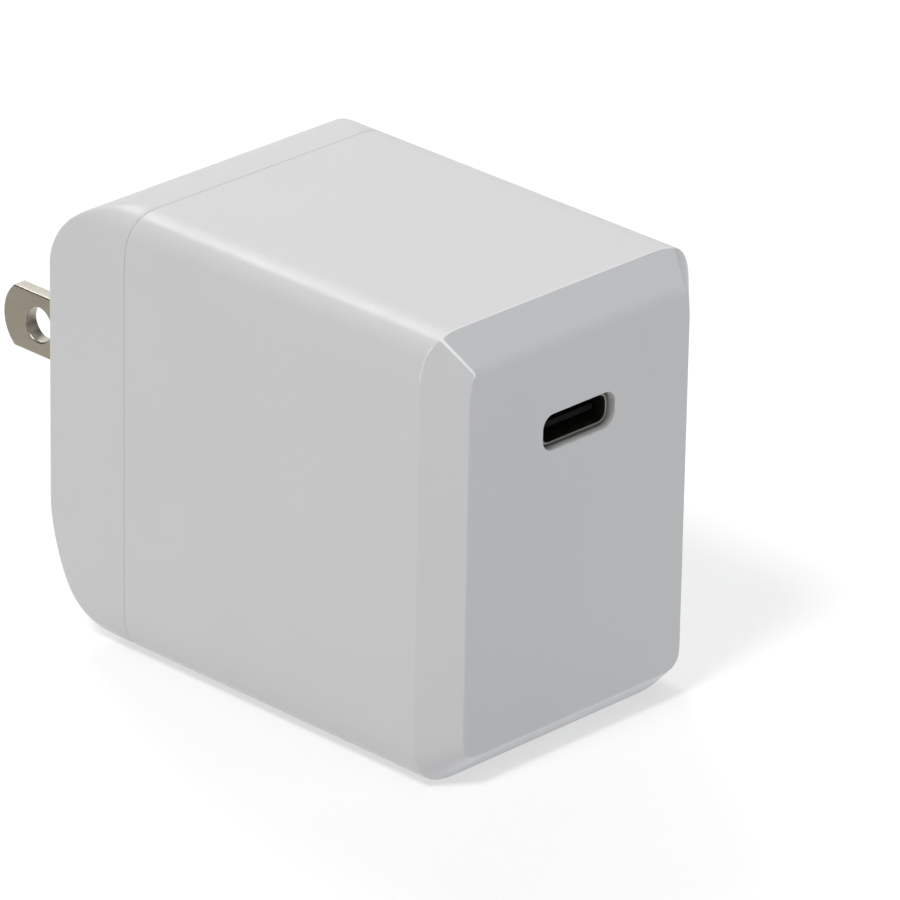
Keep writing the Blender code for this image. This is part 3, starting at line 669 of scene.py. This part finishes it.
def locating_lip():
    """The rim that reaches from the cover into the front housing."""
    bm = bmesh.new()
    rings = [(SEAM + LIP_ROOT, WALL - GAP), (SEAM - LIP_REACH, WALL + GAP),
             (SEAM - LIP_REACH, WALL + GAP + LIP_THICKNESS),
             (SEAM + LIP_ROOT, WALL + GAP + LIP_THICKNESS)]
    first, last = skin(bm, [section(y, inset) for y, inset in rings])
    bridge(bm, last, first)
    return to_object(bm, "lip")


def rear_cover():
    cover = smooth(round_cuts(cut(cover_shell(), cover_cuts())))
    return join(cover, [*cover_fixings(), locating_lip()])


# ------------------------------------------------------------------ prongs

def prong_carrier():
    """The barrel, with seats for the blades, two notches for the detent, and a stub at each end."""
    pivot = (0, PIVOT_Y, PIVOT_Z)
    carrier = turned("carrier_barrel", pivot, BARREL_RADIUS, BARREL_HALF, "X", BARREL_EDGE)
    cuts = []
    half_seat = BLADE_THICKNESS / 2 + SEAT_ROOM
    for side, x in BLADE_X.items():
        cuts.append(block(f"seat_{side}", (x - half_seat, x + half_seat),
                          (PIVOT_Y + HEEL_START - GAP, REAR + PASS),
                          (PIVOT_Z - BLADE_WIDTH / 2 - SEAT_ROOM,
                           PIVOT_Z + BLADE_WIDTH / 2 + SEAT_ROOM)))
        cuts.append(block(f"heel_seat_{side}", (x - half_seat, x + half_seat),
                          (PIVOT_Y - BARREL_RADIUS - PASS, PIVOT_Y),
                          (PIVOT_Z - HEEL_HALF - GAP, PIVOT_Z + HEEL_HALF + GAP)))
    for name, y, z in (("open", 0.0, BARREL_RADIUS + GAP), ("folded", -BARREL_RADIUS - GAP, 0.0)):
        cuts.append(turned(f"notch_{name}", (0, PIVOT_Y + y, PIVOT_Z + z), NOTCH_RADIUS,
                           NOTCH_HALF, "X", steps=NOTCH_STEPS))
    cut(carrier, cuts)
    half_stub = (STUB_END - BARREL_HALF + OVERLAP) / 2
    stubs = [turned(f"stub_{side}", (side * (STUB_END - half_stub), PIVOT_Y, PIVOT_Z),
                    STUB_RADIUS, half_stub, "X", MOULDED_EDGE, SMALL_BAR_STEPS)
             for side in (-1, 1)]
    return smooth(join(carrier, stubs))


def blade(side):
    """A flat blade with an arched tip, a hole, and a narrow rounded heel inside the carrier."""
    half = BLADE_WIDTH / 2
    tip_angle = math.asin(half / BLADE_TIP_RADIUS)
    heel_angle = math.asin(HEEL_HALF / HEEL_RADIUS)
    tip = BLADE_TIP - PIVOT_Y
    outline = [(HEEL_START, -HEEL_HALF), (HEEL_START, -half)]
    outline += arc((tip - BLADE_TIP_RADIUS, 0), BLADE_TIP_RADIUS, -tip_angle, tip_angle,
                   TIP_STEPS)
    outline += [(HEEL_START, half), (HEEL_START, HEEL_HALF)]
    outline += arc((0, 0), HEEL_RADIUS, math.pi - heel_angle, math.pi + heel_angle, HEEL_STEPS)
    hole = arc((BLADE_HOLE_Y - PIVOT_Y, 0), BLADE_HOLE_RADIUS, 0, 2 * math.pi, HOLE_STEPS)[:-1]
    return smooth(plate(f"{side}_blade_metal", [outline, hole], "YZ",
                        (BLADE_X[side], PIVOT_Y, PIVOT_Z), BLADE_THICKNESS, BLADE_EDGE))


# ------------------------------------------------------------------ socket

def shell_outline(inset):
    """The receptacle's outline in X and Z, drawn in by a distance."""
    points = stadium(0, 0.0, SHELL_HALF_WIDTH - inset, SHELL_HALF_HEIGHT - inset,
                     SHELL_CORNER - inset)
    return [(point.x, point.z) for point in points]


def usb_shell():
    """The receptacle's metal tube."""
    outlines = [shell_outline(0.0), shell_outline(SHELL_WALL)]
    return smooth(plate("receptacle_shell", outlines, "XZ", (0, (SHELL_FRONT + SHELL_REAR) / 2, 0),
                        SHELL_REAR - SHELL_FRONT, SHELL_EDGE))


def usb_tongue():
    """The thin board inside the receptacle, on a thicker base."""
    base_rise = TONGUE_HIGH.z / MM - PORT_Z
    base_half = TONGUE_HIGH.x / MM
    base = block("tongue_body", (-base_half, base_half), (TONGUE_BASE_FRONT, TONGUE_BACK),
                 (PORT_Z - base_rise, PORT_Z + base_rise), FINE_EDGE)
    board = block("tongue_board", (-TONGUE_HALF_WIDTH, TONGUE_HALF_WIDTH),
                  (TONGUE_FRONT, TONGUE_BASE_FRONT + OVERLAP),
                  (PORT_Z - TONGUE_HALF_THICKNESS, PORT_Z + TONGUE_HALF_THICKNESS), TONGUE_EDGE)
    return smooth(join(base, [board]))


def usb_insert():
    """The dark moulding that closes the receptacle behind its tongue."""
    depth = SHELL_REAR - TONGUE_BASE_FRONT
    return smooth(plate("receptacle_insert", [shell_outline(SHELL_WALL + INSERT_ROOM)], "XZ",
                        (0, SHELL_REAR - depth / 2, 0), depth, INSERT_EDGE))


def usb_contacts(side):
    """A row of contact strips on one face of the tongue."""
    face = PORT_Z + side * TONGUE_HALF_THICKNESS
    strips = []
    for index in range(CONTACT_COUNT):
        x = (index - (CONTACT_COUNT - 1) / 2) * CONTACT_PITCH
        strips.append(block(f"contact_{side}_{index}",
                            (x - CONTACT_WIDTH / 2, x + CONTACT_WIDTH / 2),
                            (CONTACT_FRONT, CONTACT_FRONT + CONTACT_LENGTH),
                            (face - CONTACT_HALF_THICKNESS, face + CONTACT_HALF_THICKNESS),
                            CONTACT_EDGE))
    row = join(strips[0], strips[1:])
    row.name = "upper_contacts" if side > 0 else "lower_contacts"
    return smooth(row)


# ------------------------------------------------------------------ materials

# Brushed marks are a noise drawn out along one axis and squeezed across it.
MICRON = 0.000001
MARK_SCALE = 900.0
ACROSS = 6.0
ALONG = 0.6
BLADE_ALONG = 0.5


class Shader:
    """A small builder for a procedural material in the object's own coordinates, in metres."""

    def __init__(self, name):
        self.material = bpy.data.materials.new(name)
        self.material.use_nodes = True
        self.tree = self.material.node_tree
        self.surface = self.tree.nodes["Principled BSDF"]
        coordinates = self.tree.nodes.new("ShaderNodeTexCoord")
        self.place = coordinates.outputs["Object"]
        self.normal = coordinates.outputs["Normal"]

    def node(self, kind, **inputs):
        """A shader node with its inputs set; an input's name has _ in place of a space."""
        made = self.tree.nodes.new("ShaderNode" + kind)
        for name, value in inputs.items():
            self.feed(made.inputs[name.replace("_", " ")], value)
        return made

    def feed(self, socket, value):
        if isinstance(value, bpy.types.NodeSocket):
            self.tree.links.new(value, socket)
        else:
            socket.default_value = value

    def noise(self, scale, detail=3.0, stretch=(1, 1, 1)):
        vector = self.node("Mapping", Vector=self.place, Scale=stretch).outputs["Vector"]
        return self.node("TexNoise", Vector=vector, Scale=scale, Detail=detail).outputs["Fac"]

    def ramp(self, value, low, high, start=0.35, end=0.65):
        """Spreads a value's range, start to end, over another, low to high."""
        made = self.node("MapRange", Value=value, From_Min=start, From_Max=end,
                         To_Min=low, To_Max=high)
        return made.outputs["Result"]

    def mix(self, factor, first, second):
        """Mixes two colours, each a socket or three numbers."""
        made = self.node("Mix", Factor=factor)
        made.data_type = "RGBA"
        colour_inputs = [socket for socket in made.inputs if socket.type == "RGBA"]
        for socket, colour in zip(colour_inputs, (first, second)):
            self.feed(socket, colour if isinstance(colour, bpy.types.NodeSocket) else (*colour, 1.0))
        return next(socket for socket in made.outputs if socket.type == "RGBA")

    def drifting(self, colour, variation, scale):
        """A colour that drifts slowly between itself and a darker shade."""
        drift = self.ramp(self.noise(scale, detail=2.0), 0.0, 1.0)
        return self.mix(drift, shade(colour, 1 - variation), colour)

    def bump(self, height, distance, strength=1.0):
        """Raises the surface's shading by a height map, over a distance in metres."""
        made = self.node("Bump", Height=height, Distance=distance, Strength=strength)
        self.feed(self.surface.inputs["Normal"], made.outputs["Normal"])

    def finish(self, colour, roughness, metallic=0.0, **more):
        self.feed(self.surface.inputs["Base Color"], colour)
        self.feed(self.surface.inputs["Roughness"], roughness)
        self.surface.inputs["Metallic"].default_value = metallic
        for name, value in more.items():
            self.feed(self.surface.inputs[name.replace("_", " ")], value)
        return self.material


def shade(colour, factor):
    return tuple(channel * factor for channel in colour)


def moulded(name, colour, roughness, grain=4, variation=0.02, highlight_colour=None, gleam=0.5):
    """Moulded plastic: a grain so many microns deep, a slow drift of tone, a painted highlight on
    marked edges if any.
    """
    shader = Shader(name)
    tone = shader.drifting(colour, variation, scale=90.0)
    # Marked vertices take the lighter highlight colour: a painted highlight.
    if highlight_colour:
        marks = shader.node("Attribute")
        marks.attribute_name = PAINTED_HIGHLIGHT
        tone = shader.mix(marks.outputs["Fac"], tone, highlight_colour)
    shader.bump(shader.noise(4200.0, detail=2.0), grain * MICRON)
    gloss = shader.ramp(shader.noise(700.0), roughness - 0.03, roughness + 0.03)
    return shader.finish(tone, gloss, Specular_IOR_Level=gleam)


def brushed(name, colour, roughness, along):
    """Metal with fine marks along one axis and a slow drift of tone."""
    shader = Shader(name)
    stretch = tuple(ALONG if axis == along else ACROSS for axis in "XYZ")
    marks = shader.noise(MARK_SCALE, detail=4.0, stretch=stretch)
    shader.bump(marks, MICRON)
    gloss = shader.ramp(marks, roughness - 0.06, roughness + 0.06)
    return shader.finish(shader.drifting(colour, variation=0.12, scale=160.0), gloss, metallic=1.0)


def stamped(name, face, edge, roughness):
    """Plated blade metal: brushed flat faces, with a lighter tone on the edges round the outline."""
    shader = Shader(name)
    marks = shader.noise(MARK_SCALE, detail=4.0, stretch=(ACROSS, BLADE_ALONG, ACROSS))
    facing = shader.node("SeparateXYZ", Vector=shader.normal)
    sideways = shader.node("Math", Value=facing.outputs["X"])
    sideways.operation = "ABSOLUTE"
    flat = shader.ramp(sideways.outputs["Value"], 0.0, 1.0, start=0.6, end=0.9)
    tone = shader.mix(flat, edge, shader.drifting(face, variation=0.12, scale=140.0))
    shader.bump(marks, 2 * MICRON)
    return shader.finish(tone, shader.ramp(marks, roughness - 0.05, roughness + 0.06), metallic=1.0)


def wound(name, dark, light, scale, axis, roughness, metallic=0.0):
    """Turns of wire or tape, as ridges across the piece."""
    shader = Shader(name)
    wave = shader.node("TexWave", Vector=shader.place, Scale=scale, Distortion=0.3)
    wave.bands_direction = axis
    turns = wave.outputs["Fac"]
    shader.bump(turns, 60 * MICRON, strength=0.8)
    gloss = shader.ramp(shader.noise(500.0), roughness - 0.05, roughness + 0.05)
    return shader.finish(shader.mix(turns, dark, light), gloss, metallic)


def circuit(name, dark, light, track):
    """Solder mask over a faint pattern of copper tracks."""
    shader = Shader(name)
    brick = shader.node("TexBrick", Vector=shader.place, Scale=160.0)
    brick.offset = 0.37
    tracks = brick.outputs["Fac"]
    mask = shader.mix(shader.ramp(shader.noise(240.0), 0.0, 1.0), dark, light)
    shader.bump(tracks, 20 * MICRON, strength=0.6)
    return shader.finish(shader.mix(tracks, mask, track), shader.ramp(shader.noise(900.0), 0.28, 0.4))


def sintered(name, colour, roughness):
    """A dull dark body with a fine pitted surface: ferrite, or pressed insulating paper."""
    shader = Shader(name)
    pits = shader.noise(2600.0, detail=5.0)
    shader.bump(pits, 15 * MICRON, strength=0.7)
    tone = shader.mix(pits, shade(colour, 0.6), shade(colour, 1.5))
    return shader.finish(tone, shader.ramp(pits, roughness - 0.08, roughness + 0.08))


MATERIALS = {
    # Its near-white highlight colour paints the bright lines on the chamfer's edges.
    "white_plastic": moulded("white_moulding", (0.583, 0.581, 0.594), 0.38, grain=3,
                             variation=0.012, highlight_colour=(0.97, 0.97, 0.98), gleam=0.28),
    "tub_plastic": moulded("tub_moulding", (0.60, 0.60, 0.61), 0.5),
    "black_plastic": moulded("black_moulding", (0.005, 0.005, 0.006), 0.5, variation=0.3,
                             gleam=0.06),
    "blade_nickel": stamped("nickel_plate", (0.30, 0.27, 0.215), (0.43, 0.40, 0.35), 0.34),
    "spring_brass": brushed("spring_bronze", (0.72, 0.55, 0.28), 0.30, "Z"),
    "steel": brushed("plated_steel", (0.28, 0.26, 0.235), 0.36, "Y"),
    "aluminium": brushed("mill_aluminium", (0.78, 0.78, 0.79), 0.34, "X"),
    "board_green": circuit("solder_mask", (0.010, 0.075, 0.030), (0.014, 0.105, 0.042),
                           (0.03, 0.20, 0.07)),
    "ferrite": sintered("ferrite_body", (0.055, 0.055, 0.06), 0.6),
    "yellow_tape": wound("winding_tape", (0.55, 0.36, 0.05), (0.80, 0.58, 0.12), 260.0, "Z", 0.4),
    "copper": wound("enamelled_copper", (0.42, 0.15, 0.06), (0.80, 0.38, 0.20), 700.0, "Y", 0.28,
                    metallic=1.0),
    "capacitor_sleeve": moulded("shrink_sleeve", (0.02, 0.025, 0.06), 0.3, grain=10,
                                variation=0.25),
    "blue_epoxy": moulded("dipped_epoxy", (0.03, 0.14, 0.45), 0.35, grain=20, variation=0.15),
    "box_yellow": moulded("potted_box", (0.72, 0.55, 0.14), 0.45, grain=8, variation=0.08),
    "fish_paper": sintered("fish_paper_sheet", (0.16, 0.19, 0.16), 0.7),
}
CONTACT_GOLD = brushed("contact_gold", (0.50, 0.37, 0.17), 0.3, "Y")


def dress(piece, body, slot, nodes=(), material=None):
    """Gives a new piece its body, its slot and its finish."""
    piece.data.materials.clear()
    piece.data.materials.append(material or MATERIALS[slot])
    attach(piece, body)
    if nodes:
        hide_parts(*nodes)


dress(front_housing(), "housing", "white_plastic", ["front_housing"])
dress(rear_cover(), "housing", "white_plastic", ["rear_cover"])
dress(prong_carrier(), "prongs", "tub_plastic", ["prong_carrier"])
for blade_side in BLADE_X:
    dress(blade(blade_side), "prongs", "blade_nickel", [f"{blade_side}_blade"])
dress(usb_shell(), "housing", "steel", ["usb_shell"])
dress(usb_tongue(), "housing", "black_plastic", ["usb_tongue"])
dress(usb_insert(), "housing", "black_plastic")
for contact_side in (-1, 1):
    dress(usb_contacts(contact_side), "housing", "spring_brass", material=CONTACT_GOLD)

NODE_SLOTS = {entry["node"]: entry["material_slot"] for entry in frame["record"]["subparts"]}
for node_name, node in frame["nodes"].items():
    node.data.materials.clear()
    node.data.materials.append(MATERIALS[NODE_SLOTS[node_name]])


# ------------------------------------------------------------------ studio

WHITE = (1.0, 1.0, 1.0)
WARM_WHITE = (1.0, 0.995, 0.975)
COOL_WHITE = (0.55, 0.92, 1.0)

# The floor glows a little besides what it reflects, so that it renders as white as the photo's
# background while the shadows on it stay light.
FLOOR_HALF = 3000.0
FLOOR_DROP = 0.02
FLOOR_DARK = (0.498, 0.498, 0.498)
FLOOR_LIGHT = (0.504, 0.504, 0.504)
FLOOR_GLOW = 0.506

# The camera's place, and how it is turned, as fitted to the photo's outline and edges.
CAMERA_PLACE = (-494.652, -490.009, 339.930)
CAMERA_YAW = math.radians(45.8398)
CAMERA_PITCH = math.radians(24.5758)
CAMERA_ROLL = math.radians(1.0311)
CAMERA_LENS = 327.759
CAMERA_SENSOR = 36.0
CAMERA_CLIP = 0.01

# Each light: where it shines from, its strength, how wide it looks in degrees, and its colour.
LIGHTS = {
    "left_key": ((-29.4, -3.0, 45.0), 1.692, 16.0, WARM_WHITE),
    "overhead": ((0.0, 0.0, 1.0), 0.502, 70.0, WHITE),
    "front_overhead": ((-0.1, -0.5, 0.85), 0.351, 80.0, WHITE),
    "front_right": ((0.6, -1.0, 0.25), 0.19, 40.0, COOL_WHITE),
    "rear_right": ((0.65, 0.63, 0.45), 0.547, 50.0, WHITE),
    "rim_glint": ((0.33, 0.63, 0.70), 0.80, 18.0, WHITE),
}
WORLD_STRENGTH = 0.15


def floor():
    bm = bmesh.new()
    bmesh.ops.create_grid(bm, x_segments=8, y_segments=8, size=FLOOR_HALF,
                          matrix=Matrix.Translation((0, 0, -FLOOR_DROP)))
    surface = to_object(bm, "studio_floor")
    shader = Shader("floor_paper")
    tone = shader.mix(shader.ramp(shader.noise(30.0), 0.0, 1.0), FLOOR_DARK, FLOOR_LIGHT)
    paper = shader.finish(tone, 0.9, Specular_IOR_Level=0.0, Emission_Color=(*WHITE, 1.0),
                          Emission_Strength=FLOOR_GLOW)
    surface.data.materials.append(paper)


def camera():
    cos_pitch = math.cos(CAMERA_PITCH)
    ahead = Vector((math.sin(CAMERA_YAW) * cos_pitch, math.cos(CAMERA_YAW) * cos_pitch,
                    -math.sin(CAMERA_PITCH)))
    right = Vector((math.cos(CAMERA_YAW), -math.sin(CAMERA_YAW), 0))
    up = right.cross(ahead)
    across = math.cos(CAMERA_ROLL) * right + math.sin(CAMERA_ROLL) * up
    upward = math.cos(CAMERA_ROLL) * up - math.sin(CAMERA_ROLL) * right
    data = bpy.data.cameras.new("camera")
    data.lens = CAMERA_LENS
    data.sensor_width = CAMERA_SENSOR
    data.clip_start = CAMERA_CLIP
    item = bpy.data.objects.new("camera", data)
    bpy.context.scene.collection.objects.link(item)
    turn = Matrix((across, upward, -ahead)).transposed().to_4x4()
    item.matrix_world = Matrix.Translation(Vector(CAMERA_PLACE) * MM) @ turn
    bpy.context.scene.camera = item


def lights():
    for name, (source, strength, width, colour) in LIGHTS.items():
        data = bpy.data.lights.new(name, "SUN")
        data.color = colour
        data.energy = strength
        data.angle = math.radians(width)
        item = bpy.data.objects.new(name, data)
        bpy.context.scene.collection.objects.link(item)
        item.rotation_euler = Vector(source).to_track_quat("Z", "Y").to_euler()
    world = bpy.data.worlds.new("studio")
    world.use_nodes = True
    background = world.node_tree.nodes["Background"]
    background.inputs["Color"].default_value = (*WHITE, 1.0)
    background.inputs["Strength"].default_value = WORLD_STRENGTH
    bpy.context.scene.world = world


floor()
camera()
lights()
bpy.context.scene.view_settings.view_transform = "Standard"
